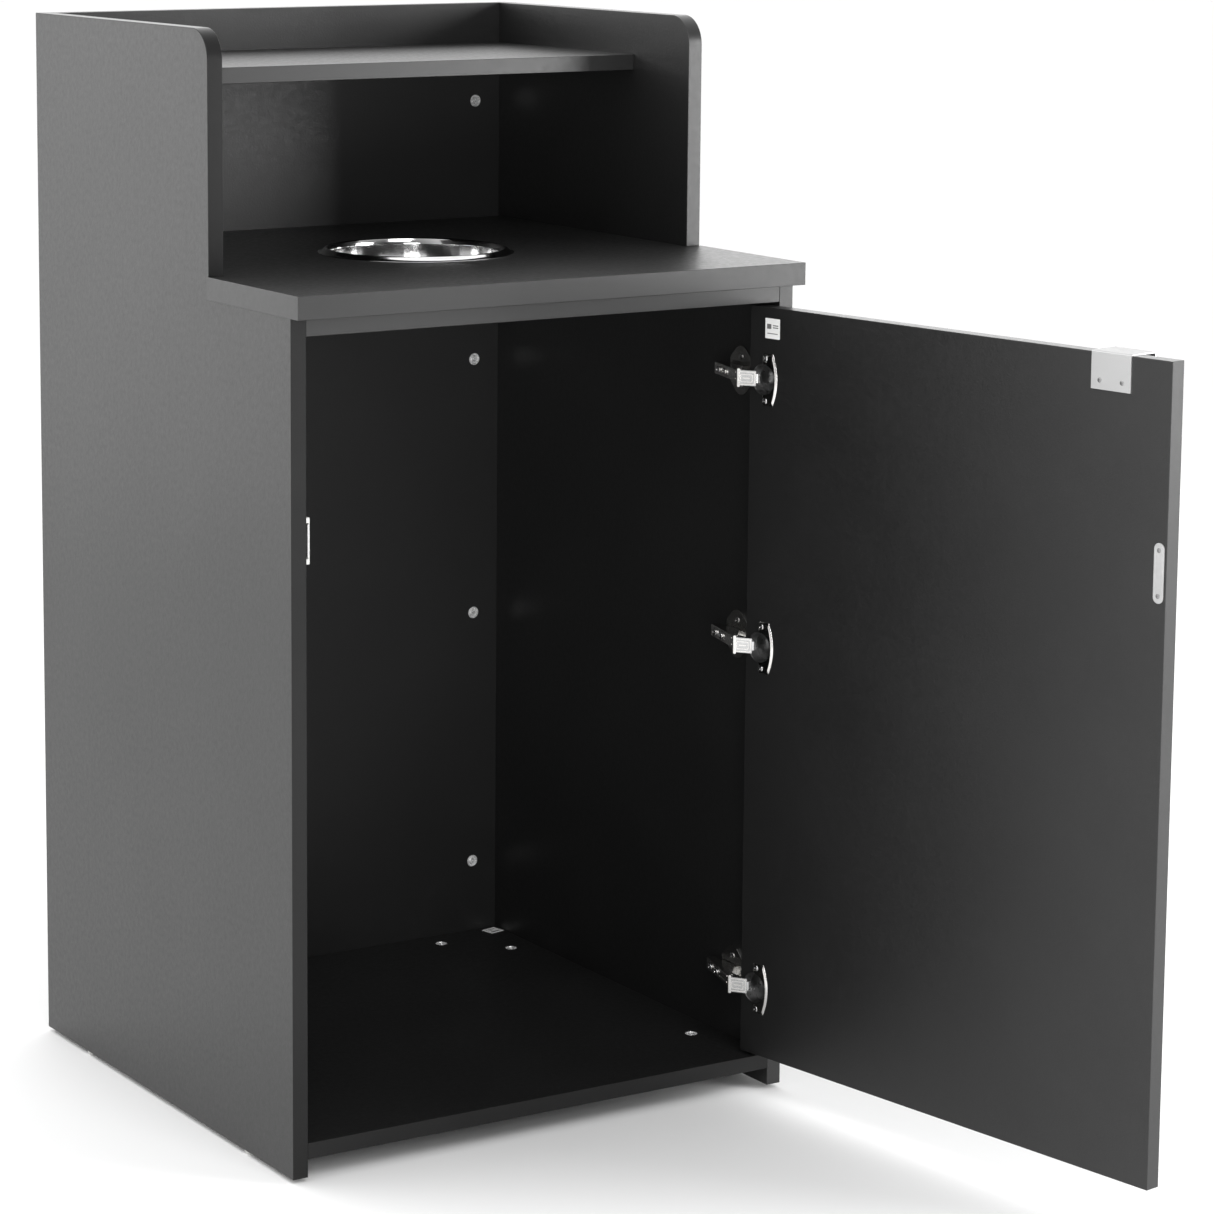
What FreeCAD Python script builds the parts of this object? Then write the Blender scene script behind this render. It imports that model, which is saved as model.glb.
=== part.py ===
import FreeCAD, Part
import os
import Sketcher
from FreeCAD import Placement, Rotation, Vector

# A free-standing waste receptacle cabinet: two L-shaped side panels carry a back panel, a bottom
# panel, a top rail, a countertop with a stainless drop ring and a tray shelf. An inset door
# swings on three concealed cup hinges. +X is right, +Y is back, +Z is up. The origin is on the
# floor, under the centre of the side panels' footprint. The door stands open at rest.

SIZES = {
    "cabinet_width": 637, "cabinet_depth": 613, "cabinet_height": 1214, "board": 18, "band": 1,
    "glide_rise": 5, "glide_diameter": 17, "glide_inset": 109,
    "hutch_setback": 183, "hutch_radius": 34, "shoulder_height": 925,
    "counter_thickness": 25, "front_overhang": 20, "side_overhang": 2.5,
    "toe_gap": 20, "rail_height": 20, "rail_depth": 80,
    "shelf_height": 1147, "shelf_setback": 296,
    "ring_radius": 111.5, "throat_radius": 98, "ring_rise": 5.5, "ring_reach": 32,
    "ring_sheet": 1.2, "ring_depth": 287,
    "door_width": 594, "door_height": 860, "hinge_gap": 4, "door_lift": 3.5,
    "door_rest_angle": 99.2, "link_ratio": -0.24, "pole_inset": 15, "pole_depth": 8.75,
    "lower_hinge": 120, "middle_hinge": 516, "upper_hinge": 820,
    "cup_inset": 22.5, "cup_radius": 17.4, "cup_depth": 11.5, "cup_wall": 0.8,
    "flange": 1.2, "flange_radius": 20.5, "ear_inset": 25, "ear_pitch": 48, "ear_reach": 29.5,
    "link_pivot_inset": 30.5, "link_pivot_depth": 29, "link_height": 17, "pin_diameter": 3,
    "running_gap": 0.05,
    "plate_thickness": 2, "plate_depth": 69, "plate_screw_pitch": 32,
    "cam_diameter": 15, "cam_height": 13.2, "cam_inset": 34, "bolt_diameter": 7,
    "bolt_anchor": 11, "cam_pitch": 322, "lowest_cam": 128,
    "pull_inset": 491, "pull_width": 51.5, "pull_leg": 38, "pull_reach": 19, "pull_lip": 12,
    "pull_sheet": 1.5, "pull_screw_pitch": 29, "pull_screw_drop": 28.5,
    "strike_inset": 585, "strike_height": 686, "strike_length": 62, "strike_width": 13,
    "strike_sheet": 1.2, "strike_screw_pitch": 47,
    "catch_length": 50, "catch_depth": 20, "catch_reach": 15.5, "catch_gap": 3,
    "catch_screw_pitch": 34, "pole_rise": 1.4,
    "label_size": 23, "label_sheet": 0.2,
}


class Size:
    """A length or angle that knows its number and the sheet expression that gives it."""

    def __init__(self, value, text=None):
        self.value = float(value)
        self.text = text or repr(float(value))

    def __add__(self, other):
        other = as_size(other)
        return Size(self.value + other.value, f"({self.text} + {other.text})")

    def __sub__(self, other):
        other = as_size(other)
        return Size(self.value - other.value, f"({self.text} - {other.text})")

    def __mul__(self, other):
        other = as_size(other)
        return Size(self.value * other.value, f"({self.text} * {other.text})")

    def __truediv__(self, other):
        other = as_size(other)
        return Size(self.value / other.value, f"({self.text} / {other.text})")

    def __radd__(self, other):
        return as_size(other) + self

    def __rsub__(self, other):
        return as_size(other) - self

    def __rmul__(self, other):
        return as_size(other) * self

    def __neg__(self):
        return Size(0) - self


def as_size(number):
    return number if isinstance(number, Size) else Size(number)


doc = FreeCAD.newDocument("receptacle_cabinet")
sheet = doc.addObject("Spreadsheet::Sheet", "Sizes")
for row, (alias, number) in enumerate(SIZES.items(), start=1):
    sheet.set(f"A{row}", alias)
    sheet.set(f"B{row}", str(number))
    sheet.setAlias(f"B{row}", alias)
doc.recompute()


class Sheet:
    """Reads a sheet cell as a Size: s.board is 18 mm and the text <<Sizes>>.board."""

    def __getattr__(self, alias):
        return Size(SIZES[alias], f"<<Sizes>>.{alias}")


s = Sheet()
nodes = []

# ---------------------------------------------------------------- helpers


def bind(obj, prop, size):
    """Ties one property of an object to the sheet."""
    obj.setExpression(prop, as_size(size).text)


def place(obj, x=0, y=0, z=0, turn=None):
    """Puts an object at (x, y, z), turned about +Z, with every number tied to the sheet."""
    corner = Vector(as_size(x).value, as_size(y).value, as_size(z).value)
    turned = Rotation() if turn is None else Rotation(Vector(0, 0, 1), as_size(turn).value)
    obj.Placement = Placement(corner, turned)
    for axis, size in zip("xyz", (x, y, z)):
        bind(obj, f"Placement.Base.{axis}", size)
    if turn is not None:
        bind(obj, "Placement.Rotation.Angle", turn)
    return obj


def new_body(label):
    body = doc.addObject("PartDesign::Body", label)
    body.Label = label
    nodes.append(body)
    return body


# A sketch lies across one axis. The XZ plane's normal points along -Y, the others' along +.
PLANES = {"x": ("YZ_Plane", 1), "y": ("XZ_Plane", -1), "z": ("XY_Plane", 1)}


def new_sketch(body, axis, start):
    """A sketch across an axis such as "+x", at a distance along it from the body's origin."""
    role, normal = PLANES[axis[1]]
    offset = as_size(start) * normal
    sketch = body.newObject("Sketcher::SketchObject", f"{body.Name}_sketch")
    plane = next(item for item in body.Origin.OriginFeatures if item.Role == role)
    sketch.AttachmentSupport = [(plane, "")]
    sketch.MapMode = "FlatFace"
    sketch.AttachmentOffset = Placement(Vector(0, 0, offset.value), Rotation())
    bind(sketch, "AttachmentOffset.Base.z", offset)
    return sketch


def along_normal(axis):
    """Whether an axis such as "-y" points the way its sketch plane's normal does."""
    return (1 if axis[0] == "+" else -1) == PLANES[axis[1]][1]


def pin_point(sketch, geometry, end, x, y):
    """Fixes one end of a sketch line or arc at (x, y), measured from the sketch origin."""
    for kind, size in (("DistanceX", x), ("DistanceY", y)):
        size = as_size(size)
        index = sketch.addConstraint(
            Sketcher.Constraint(kind, -1, 1, geometry, end, size.value))
        bind(sketch, f"Constraints[{index}]", size)


def unit_step(start, end):
    """The direction from one corner to the next along a straight, axis-aligned edge."""
    dx = as_size(end[0]).value - as_size(start[0]).value
    dy = as_size(end[1]).value - as_size(start[1]).value
    length = (dx * dx + dy * dy) ** 0.5
    return dx / length, dy / length


def add_outline(sketch, corners):
    """Draws a closed outline. A corner is (x, y), or (x, y, radius) at a right angle."""
    joints = []
    for i, corner in enumerate(corners):
        x, y = as_size(corner[0]), as_size(corner[1])
        if len(corner) == 2:
            joints.append(((x, y),))
            continue
        radius = as_size(corner[2])
        back = unit_step(corner, corners[i - 1])
        ahead = unit_step(corner, corners[(i + 1) % len(corners)])
        entry = (x + radius * round(back[0]), y + radius * round(back[1]))
        leave = (x + radius * round(ahead[0]), y + radius * round(ahead[1]))
        joints.append((entry, leave, radius, back, ahead))
    for i, joint in enumerate(joints):
        start = joint[0] if len(joint) == 1 else joint[1]
        end = joints[(i + 1) % len(joints)][0]
        line = sketch.addGeometry(Part.LineSegment(
            Vector(start[0].value, start[1].value, 0), Vector(end[0].value, end[1].value, 0)))
        pin_point(sketch, line, 1, *start)
        pin_point(sketch, line, 2, *end)
        if len(joint) > 1:
            entry, leave, radius, back, ahead = joint
            centre = [corner.value + radius.value * (round(back[k]) + round(ahead[k]))
                      for k, corner in enumerate(
                          (as_size(corners[i][0]), as_size(corners[i][1])))]
            middle = [centre[k] - radius.value * (back[k] + ahead[k]) / 2 ** 0.5
                      for k in range(2)]
            arc = sketch.addGeometry(Part.Arc(
                Vector(entry[0].value, entry[1].value, 0), Vector(middle[0], middle[1], 0),
                Vector(leave[0].value, leave[1].value, 0)))
            ends = (1, 2) if (sketch.getPoint(arc, 1)
                              - Vector(entry[0].value, entry[1].value, 0)).Length < 1e-4 else (2, 1)
            pin_point(sketch, arc, ends[0], *entry)
            pin_point(sketch, arc, ends[1], *leave)
            index = sketch.addConstraint(Sketcher.Constraint("Radius", arc, radius.value))
            bind(sketch, f"Constraints[{index}]", radius)


def add_circle(sketch, x, y, radius):
    x, y, radius = as_size(x), as_size(y), as_size(radius)
    circle = sketch.addGeometry(Part.Circle(
        Vector(x.value, y.value, 0), Vector(0, 0, 1), radius.value))
    pin_point(sketch, circle, 3, x, y)
    index = sketch.addConstraint(Sketcher.Constraint("Radius", circle, radius.value))
    bind(sketch, f"Constraints[{index}]", radius)


def pad(body, sketch, axis, length):
    feature = body.newObject("PartDesign::Pad", f"{body.Name}_pad")
    feature.Profile = sketch
    bind(feature, "Length", length)
    feature.Reversed = not along_normal(axis)
    doc.recompute()
    return feature


def pocket(body, sketch, axis, depth):
    """Cuts a sketch into the body along an axis, and checks that material went away."""
    before = body.Shape.Volume
    feature = body.newObject("PartDesign::Pocket", f"{body.Name}_pocket")
    feature.Profile = sketch
    bind(feature, "Length", depth)
    feature.Reversed = along_normal(axis)
    doc.recompute()
    if body.Shape.Volume > before - 0.1:
        raise RuntimeError(f"{body.Label}: a pocket removed nothing")
    return feature


def slab(label, axis, corners, thickness, start=0):
    """A board or flat piece: one outline, padded by its thickness along an axis."""
    body = new_body(label)
    sketch = new_sketch(body, axis, start)
    add_outline(sketch, corners)
    pad(body, sketch, axis, thickness)
    return body


def bore(body, axis, start, spots, diameter, depth):
    """Round holes of one size, which go along an axis from a start."""
    sketch = new_sketch(body, axis, start)
    for x, y in spots:
        add_circle(sketch, x, y, as_size(diameter) / 2)
    return pocket(body, sketch, axis, depth)


def rectangle(x0, y0, x1, y1):
    return [(x0, y0), (x1, y0), (x1, y1), (x0, y1)]


AXIS_TURN = {
    "+x": Rotation(Vector(0, 1, 0), 90), "-x": Rotation(Vector(0, 1, 0), -90),
    "+y": Rotation(Vector(1, 0, 0), -90), "-y": Rotation(Vector(1, 0, 0), 90),
    "+z": Rotation(), "-z": Rotation(Vector(1, 0, 0), 180),
}


def lay(obj, spot, axis):
    """Puts a primitive's base at a spot, with its length along an axis."""
    obj.Placement = Placement(Vector(*(as_size(c).value for c in spot)), AXIS_TURN[axis])
    for name, size in zip("xyz", spot):
        bind(obj, f"Placement.Base.{name}", size)
    return obj


def rod(spot, axis, radius, length):
    piece = doc.addObject("Part::Cylinder", "rod")
    bind(piece, "Radius", radius)
    bind(piece, "Height", length)
    return lay(piece, spot, axis)


def taper(spot, axis, radius, end_radius, length):
    piece = doc.addObject("Part::Cone", "taper")
    bind(piece, "Radius1", radius)
    bind(piece, "Radius2", end_radius)
    bind(piece, "Height", length)
    return lay(piece, spot, axis)


def block(x0, y0, z0, length, width, height):
    piece = doc.addObject("Part::Box", "block")
    bind(piece, "Length", length)
    bind(piece, "Width", width)
    bind(piece, "Height", height)
    return lay(piece, (x0, y0, z0), "+z")


def fuse(pieces):
    joined = doc.addObject("Part::MultiFuse", "joined")
    joined.Shapes = pieces
    return joined


def cut(base, tool):
    result = doc.addObject("Part::Cut", "cut")
    result.Base = base
    result.Tool = tool
    return result


def group(label, pieces):
    """Several separate solids that share one node."""
    node = doc.addObject("Part::Compound", label)
    node.Links = pieces
    node.Label = label
    nodes.append(node)
    return node


def step_along(spot, axis, distance):
    """The spot moved along +x, -x, +y, -y, +z or -z."""
    sign = 1 if axis[0] == "+" else -1
    moved = list(spot)
    index = "xyz".index(axis[1])
    moved[index] = as_size(moved[index]) + sign * as_size(distance)
    return tuple(moved)


def opposite(axis):
    return ("-" if axis[0] == "+" else "+") + axis[1]


HEAD_TAPER = 0.72


def screw(spot, inward, head_radius, head_height, shank_radius, length):
    """A pan-head screw: its seat is at the spot and its shank points inward."""
    head = taper(spot, opposite(inward), head_radius, as_size(head_radius) * HEAD_TAPER,
                 head_height)
    shank = rod(spot, inward, shank_radius, length)
    return fuse([head, shank])


def on_cabinet(node, x=0, y=0, z=0):
    """Places a piece of the cabinet: y from the side panels' front, z from their underside."""
    return place(node, x, as_size(y) - s.cabinet_depth / 2, as_size(z) + s.glide_rise)


def on_door(node):
    """Places a piece of the door. Its own origin is the hinge line, with the door closed."""
    return place(node, INNER_RIGHT - s.pole_inset, s.pole_depth - s.cabinet_depth / 2,
                 s.glide_rise, s.door_rest_angle)


def on_link(node, height):
    """Places a hinge link. Its own origin is its arm pivot, with the door closed."""
    return place(node, INNER_RIGHT - s.link_pivot_inset,
                 s.link_pivot_depth - s.cabinet_depth / 2,
                 s.glide_rise + height, s.door_rest_angle * s.link_ratio)


# ---------------------------------------------------------------- places used by many pieces

HALF_WIDTH = s.cabinet_width / 2
INNER_RIGHT = HALF_WIDTH - s.board
BACK_FACE = s.cabinet_depth - s.board
COUNTER_TOP = s.shoulder_height + s.counter_thickness
FLOOR_TOP = s.toe_gap + s.board
RAIL_BOTTOM = s.shoulder_height - s.rail_height
CAM_HEIGHTS = [s.lowest_cam + s.cam_pitch * k for k in range(4)]
FLOOR_CAM_DEPTHS = (Size(104), Size(501))
FLOOR_BACK_CAM = Size(100)
HINGES = {"upper": s.upper_hinge, "middle": s.middle_hinge, "lower": s.lower_hinge}
BOLT_REACH = s.cam_inset - s.cam_diameter / 2

# On the door, x runs from the hinge line towards the cabinet's right, y towards its back.
DOOR_EDGE = s.pole_inset - s.hinge_gap
DOOR_INSIDE = s.board - s.pole_depth
DOOR_BOTTOM = FLOOR_TOP + s.door_lift
DOOR_TOP = DOOR_BOTTOM + s.door_height
CUP_X = DOOR_EDGE - s.cup_inset
EAR_X = DOOR_EDGE - s.ear_inset
STRIKE_X = DOOR_EDGE - s.strike_inset
PULL_X = DOOR_EDGE - s.pull_inset - s.pull_width

# ---------------------------------------------------------------- side panels


def side_outline(inset):
    """The L-shaped side, (y, z), with its banded edges moved in by the band's thickness."""
    hutch = s.hutch_setback + inset
    return [
        (as_size(inset), 0), (s.cabinet_depth, 0), (s.cabinet_depth, s.cabinet_height - inset),
        (hutch, s.cabinet_height - inset, s.hutch_radius - inset),
        (hutch, s.shoulder_height), (as_size(inset), s.shoulder_height)]


def hutch_band_outline():
    outer, inner = s.hutch_setback, s.hutch_setback + s.band
    top = s.cabinet_height
    return [
        (s.cabinet_depth, top - s.band), (s.cabinet_depth, top), (outer, top, s.hutch_radius),
        (outer, COUNTER_TOP), (inner, COUNTER_TOP),
        (inner, top - s.band, s.hutch_radius - s.band)]


# Bores in the boards: pilots are narrower than the screws that cut into them.
ANCHOR_BORE = 5
PLATE_SCREW_BORE, PLATE_SCREW_PILOT = 3.5, 13
SMALL_SCREW_BORE, SMALL_SCREW_PILOT, CUP_SCREW_PILOT = 3, 10, 12
RAIL_SCREW_BORE, COUNTER_SCREW_BORE, COUNTER_SCREW_PILOT = 4.5, 4, 14
RAIL_SCREW_X = (-250, -90, 90, 250)
SHELF_CAM_MARGIN = 60


def side_panel(side, x, inner_face, outward):
    """One side board with its two edge bands; cam bolts enter its inner face."""
    board = slab(f"{side}_side_panel", "+x", side_outline(s.band), s.board)
    back_middle = BACK_FACE + s.board / 2
    anchors = [(back_middle, height) for height in CAM_HEIGHTS]
    anchors += [(depth, s.toe_gap + s.board / 2) for depth in FLOOR_CAM_DEPTHS]
    anchors += [(depth, s.shelf_height + s.board / 2) for depth in SHELF_CAM_DEPTHS]
    bore(board, outward, inner_face, anchors, ANCHOR_BORE, s.bolt_anchor)
    front_band = slab(f"{side}_front_band", "+x",
                      rectangle(0, 0, s.band, s.shoulder_height), s.board)
    hutch_band = slab(f"{side}_hutch_band", "+x", hutch_band_outline(), s.board)
    for node in (board, front_band, hutch_band):
        on_cabinet(node, x)
    return board


SHELF_CAM_DEPTHS = (s.shelf_setback + SHELF_CAM_MARGIN, BACK_FACE - SHELF_CAM_MARGIN)
left_side = side_panel("left", -HALF_WIDTH, s.board, "-x")
right_side = side_panel("right", INNER_RIGHT, 0, "+x")
bore(right_side, "+x", 0,
     [(s.plate_depth, height + end * s.plate_screw_pitch / 2)
      for height in HINGES.values() for end in (-1, 1)], PLATE_SCREW_BORE, PLATE_SCREW_PILOT)
catch_screw_spots = [(s.board + s.catch_gap + s.catch_depth / 2,
                      s.strike_height + end * s.catch_screw_pitch / 2) for end in (-1, 1)]
bore(left_side, "-x", s.board, catch_screw_spots, SMALL_SCREW_BORE, SMALL_SCREW_PILOT)

# ---------------------------------------------------------------- boards between the sides


def cam_pockets(board, axis, start, spots):
    bore(board, axis, start, spots, s.cam_diameter, s.cam_height)


def bolt_bores(board, spots):
    """Bores from both ends of a board to its cams, at (y, z) spots."""
    for axis, start in (("+x", -INNER_RIGHT), ("-x", INNER_RIGHT)):
        bore(board, axis, start, spots, s.bolt_diameter, BOLT_REACH + 1)


back = slab("back_panel", "+y",
            rectangle(-INNER_RIGHT, 0, INNER_RIGHT, s.cabinet_height - s.band), s.board)
back_cam_spots = [(side * (INNER_RIGHT - s.cam_inset), height)
                  for side in (-1, 1) for height in CAM_HEIGHTS]
cam_pockets(back, "+y", 0, back_cam_spots)
bolt_bores(back, [(s.board / 2, height) for height in CAM_HEIGHTS])
back_band = slab("back_panel_band", "+y",
                 rectangle(-INNER_RIGHT, s.cabinet_height - s.band, INNER_RIGHT,
                           s.cabinet_height), s.board)
for node in (back, back_band):
    on_cabinet(node, 0, BACK_FACE)

bottom = slab("bottom_panel", "+z",
              rectangle(-INNER_RIGHT, s.band, INNER_RIGHT, BACK_FACE), s.board)
floor_side_cams = [(side * (INNER_RIGHT - s.cam_inset), depth)
                   for side in (-1, 1) for depth in FLOOR_CAM_DEPTHS]
floor_back_cams = [(side * (INNER_RIGHT - FLOOR_BACK_CAM), BACK_FACE - s.cam_inset)
                   for side in (-1, 1)]
cam_pockets(bottom, "-z", s.board, floor_side_cams + floor_back_cams)
bolt_bores(bottom, [(depth, s.board / 2) for depth in FLOOR_CAM_DEPTHS])
bore(bottom, "-y", BACK_FACE, [(x, s.board / 2) for x, depth in floor_back_cams],
     s.bolt_diameter, BOLT_REACH + 1)
bore(back, "+y", 0, [(x, s.toe_gap + s.board / 2) for x, depth in floor_back_cams],
     ANCHOR_BORE, s.bolt_anchor)
bottom_band = slab("bottom_panel_band", "+z",
                   rectangle(-INNER_RIGHT, 0, INNER_RIGHT, s.band), s.board)
for node in (bottom, bottom_band):
    on_cabinet(node, 0, 0, s.toe_gap)

shelf = slab("tray_shelf", "+z",
             rectangle(-INNER_RIGHT, s.shelf_setback + s.band, INNER_RIGHT, BACK_FACE), s.board)
shelf_cam_spots = [(side * (INNER_RIGHT - s.cam_inset), depth)
                   for side in (-1, 1) for depth in SHELF_CAM_DEPTHS]
cam_pockets(shelf, "+z", 0, shelf_cam_spots)
bolt_bores(shelf, [(depth, s.board / 2) for depth in SHELF_CAM_DEPTHS])
shelf_band = slab("tray_shelf_band", "+z",
                  rectangle(-INNER_RIGHT, s.shelf_setback, INNER_RIGHT,
                            s.shelf_setback + s.band), s.board)
for node in (shelf, shelf_band):
    on_cabinet(node, 0, 0, s.shelf_height)

rail = slab("top_rail", "+z",
            rectangle(-INNER_RIGHT, s.band, INNER_RIGHT, s.rail_depth), s.rail_height)
rail_screw_spots = [(x, s.rail_depth / 2) for x in RAIL_SCREW_X]
bore(rail, "+z", 0, rail_screw_spots, RAIL_SCREW_BORE, s.rail_height)
rail_band = slab("top_rail_band", "+z",
                 rectangle(-INNER_RIGHT, 0, INNER_RIGHT, s.band), s.rail_height)
for node in (rail, rail_band):
    on_cabinet(node, 0, 0, RAIL_BOTTOM)

# ---------------------------------------------------------------- countertop and drop ring


def counter_outline(inset):
    """The counter from above: wide in front of the hutch, narrow between its sides."""
    end = HALF_WIDTH + s.side_overhang - inset
    nose = -s.front_overhang + inset
    return [(-end, nose), (end, nose), (end, s.hutch_setback), (INNER_RIGHT, s.hutch_setback),
            (INNER_RIGHT, BACK_FACE), (-INNER_RIGHT, BACK_FACE), (-INNER_RIGHT, s.hutch_setback),
            (-end, s.hutch_setback)]


counter = slab("countertop", "+z", counter_outline(s.band), s.counter_thickness)
RING_CLEARANCE = 0.5
bore(counter, "+z", 0, [(0, s.ring_depth)],
     (s.throat_radius + s.ring_sheet + RING_CLEARANCE) * 2, s.counter_thickness)
bore(counter, "+z", 0, rail_screw_spots, COUNTER_SCREW_BORE, COUNTER_SCREW_PILOT)
counter_end = HALF_WIDTH + s.side_overhang
counter_nose = -s.front_overhang
counter_band = slab(
    "countertop_band", "+z",
    [(-counter_end, counter_nose), (counter_end, counter_nose),
     (counter_end, s.hutch_setback), (counter_end - s.band, s.hutch_setback),
     (counter_end - s.band, counter_nose + s.band),
     (s.band - counter_end, counter_nose + s.band),
     (s.band - counter_end, s.hutch_setback), (-counter_end, s.hutch_setback)],
    s.counter_thickness)
for node in (counter, counter_band):
    on_cabinet(node, 0, 0, s.shoulder_height)


def drop_ring():
    """A stainless ring: a flange that lies on the counter, a raised crest and a throat tube."""
    body = new_body("drop_ring")
    sketch = new_sketch(body, "+y", 0)
    throat, tube = s.throat_radius, s.throat_radius + s.ring_sheet
    crest = s.throat_radius + 5
    add_outline(sketch, [
        (throat, -s.ring_reach), (tube, -s.ring_reach), (tube, 0), (s.ring_radius, 0),
        (s.ring_radius, 0.8), (crest, s.ring_rise), (throat + 1.5, s.ring_rise),
        (throat, s.ring_rise - 2)])
    turned = body.newObject("PartDesign::Revolution", "ring_turned")
    turned.Profile = sketch
    turned.ReferenceAxis = (sketch, ["V_Axis"])
    turned.Angle = 360
    doc.recompute()
    return body


on_cabinet(drop_ring(), 0, s.ring_depth, COUNTER_TOP)

# ---------------------------------------------------------------- cam locks, screws, glides


# Screws: head radius, head height, shank radius and, where it is the same for all, length.
SMALL_SCREW = (2.6, 1, 1.5, 9)
CUP_SCREW = (3.6, 1.4, 1.5, 11)
COUNTER_SCREW = (4, 2, 2)
PLATE_SCREW = (3.6, 1.6, 1.75)
PLATE_SCREW_BITE = 12
FIT = 0.05
KEY_RADIUS, KEY_LEAD, KEY_LENGTH = 2.2, 1, 4


def cam_locks(label, spots, inward):
    """Cam discs let into a board: each has a round key recess in its face."""
    cams = []
    for spot in spots:
        disc = rod(spot, inward, s.cam_diameter / 2 - FIT, s.cam_height - 2 * FIT)
        key = rod(step_along(spot, opposite(inward), KEY_LEAD), inward, KEY_RADIUS, KEY_LENGTH)
        cams.append(cut(disc, key))
    return group(label, cams)


def cam_bolts(spots, outward):
    """Bolts screwed into one board, whose heads the cams of the next board hold."""
    bolts = []
    for spot in spots:
        anchor = rod(spot, outward, ANCHOR_BORE / 2, s.bolt_anchor)
        shaft = rod(spot, opposite(outward), s.bolt_diameter / 2 - 2 * FIT, BOLT_REACH)
        bolts.append(fuse([anchor, shaft]))
    return bolts


back_cams = cam_locks("back_panel_cams",
                      [(x, BACK_FACE, height) for x, height in back_cam_spots], "+y")
floor_cams = cam_locks("bottom_panel_cams",
                       [(x, depth, FLOOR_TOP) for x, depth in floor_side_cams + floor_back_cams],
                       "-z")
shelf_cams = cam_locks("tray_shelf_cams",
                       [(x, depth, s.shelf_height) for x, depth in shelf_cam_spots], "+z")
back_bolts, floor_bolts, shelf_bolts = [], [], []
for face, outward in ((-INNER_RIGHT, "-x"), (INNER_RIGHT, "+x")):
    back_bolts += cam_bolts([(face, BACK_FACE + s.board / 2, height)
                             for height in CAM_HEIGHTS], outward)
    floor_bolts += cam_bolts([(face, depth, s.toe_gap + s.board / 2)
                              for depth in FLOOR_CAM_DEPTHS], outward)
    shelf_bolts += cam_bolts([(face, depth, s.shelf_height + s.board / 2)
                              for depth in SHELF_CAM_DEPTHS], outward)
floor_bolts += cam_bolts([(x, BACK_FACE, s.toe_gap + s.board / 2)
                          for x, depth in floor_back_cams], "+y")
hardware = [back_cams, floor_cams, shelf_cams, group("back_panel_bolts", back_bolts),
            group("bottom_panel_bolts", floor_bolts), group("tray_shelf_bolts", shelf_bolts)]
hardware.append(group("counter_screws", [
    screw((x, depth, RAIL_BOTTOM), "+z", *COUNTER_SCREW, s.rail_height + COUNTER_SCREW_PILOT)
    for x, depth in rail_screw_spots]))
glide_spots = [(side * (HALF_WIDTH - s.board / 2), depth)
               for side in (-1, 1) for depth in (s.glide_inset, s.cabinet_depth - s.glide_inset)]
hardware.append(group("glides", [
    fuse([rod((x, depth, -2), "+z", s.glide_diameter / 2, 2),
          taper((x, depth, -2), "-z", s.glide_diameter / 2, s.glide_diameter / 2 - 2,
                s.glide_rise - 2)])
    for x, depth in glide_spots]))
for node in hardware:
    on_cabinet(node)

# ---------------------------------------------------------------- magnetic catch, floor sticker

CATCH_FRONT = s.board + s.catch_gap
catch_z = s.strike_height - s.catch_length / 2
housing = slab("catch_housing", "+y", rectangle(0, 0, s.catch_reach, s.catch_length),
               s.catch_depth)
magnet_sketch = new_sketch(housing, "+y", 0)
add_outline(magnet_sketch, rectangle(6, 6, s.catch_reach - 1.5, s.catch_length - 6))
pocket(housing, magnet_sketch, "+y", 9)
on_cabinet(housing, -INNER_RIGHT, CATCH_FRONT, catch_z)
magnet = group("catch_magnet", [block(8, 1, 8, s.catch_reach - 11.5, 8, s.catch_length - 16)])
poles = group("catch_poles", [
    block(left, -s.pole_rise, 7, 2, s.pole_rise + 9, s.catch_length - 14)
    for left in (Size(6), s.catch_reach - 3.5)])
for node in (magnet, poles):
    on_cabinet(node, -INNER_RIGHT, CATCH_FRONT, catch_z)
catch_screws = group("catch_screws", [
    rod((0, depth, height), "-x", 1.5, 10) for depth, height in catch_screw_spots])
on_cabinet(catch_screws, -INNER_RIGHT)
sticker = slab("floor_sticker", "+z", rectangle(-11, -10, 11, 10), s.label_sheet)
place(sticker, INNER_RIGHT - 14, BACK_FACE - 18 - s.cabinet_depth / 2,
      s.glide_rise + FLOOR_TOP, Size(12))

# ---------------------------------------------------------------- door

door_left = DOOR_EDGE - s.door_width
door = slab("door", "+y",
            rectangle(door_left + s.band, DOOR_BOTTOM + s.band, DOOR_EDGE - s.band,
                      DOOR_TOP - s.band), s.board, start=-s.pole_depth)
bore(door, "-y", DOOR_INSIDE, [(CUP_X, height) for height in HINGES.values()],
     s.cup_radius * 2 + 0.2, s.cup_depth + 0.5)
cup_screw_spots = [(EAR_X, height + end * s.ear_pitch / 2)
                   for height in HINGES.values() for end in (-1, 1)]
bore(door, "-y", DOOR_INSIDE, cup_screw_spots, SMALL_SCREW_BORE, CUP_SCREW_PILOT)
strike_screw_spots = [(STRIKE_X, s.strike_height + side * s.strike_screw_pitch / 2)
                      for side in (-1, 1)]
pull_screw_spots = [(PULL_X + s.pull_width / 2 + side * s.pull_screw_pitch / 2,
                     DOOR_TOP - s.pull_screw_drop) for side in (-1, 1)]
bore(door, "-y", DOOR_INSIDE, strike_screw_spots + pull_screw_spots,
     SMALL_SCREW_BORE, SMALL_SCREW_PILOT)

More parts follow.
